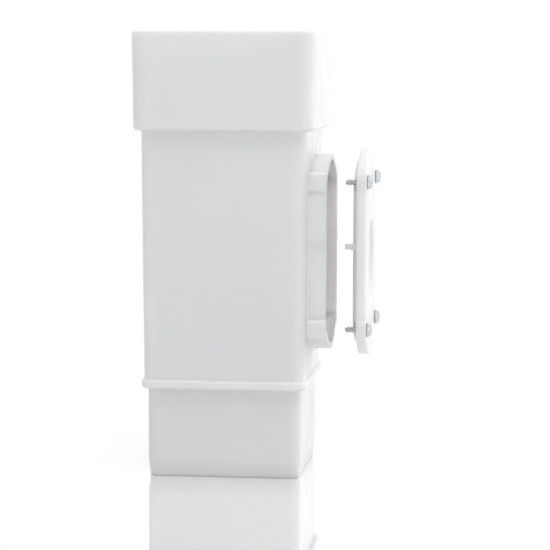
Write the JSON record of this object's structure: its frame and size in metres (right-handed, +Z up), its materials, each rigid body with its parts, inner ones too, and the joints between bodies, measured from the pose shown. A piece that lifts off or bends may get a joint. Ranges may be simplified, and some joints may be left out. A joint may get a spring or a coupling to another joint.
{
  "type": "downpipe access pipe",
  "caption": "Square rainwater downpipe fitting with a socket above, a spigot below and an oval access port in one side, shown with its screwed door taken off.",
  "frame": {"origin": "on the pipe's axis, at the spigot's lower end", "axes": "+Z up along the pipe towards the socket, +X out of the access port towards the door"},
  "size_m": [0.0938, 0.0724, 0.175],
  "materials": {
    "white_upvc": "smooth moulded gloss",
    "zinc_steel": "bright zinc plate"
  },
  "bodies": {
    "pipe": {"pipe_body": "white_upvc"},
    "door": {"access_door": "white_upvc", "door_screws": "zinc_steel"}
  },
  "joints": [
    {"name": "door_slide", "type": "slide", "parent": "pipe", "child": "door", "axis": [1, 0, 0], "range_m": [-0.0118, 0.04]}
  ]
}
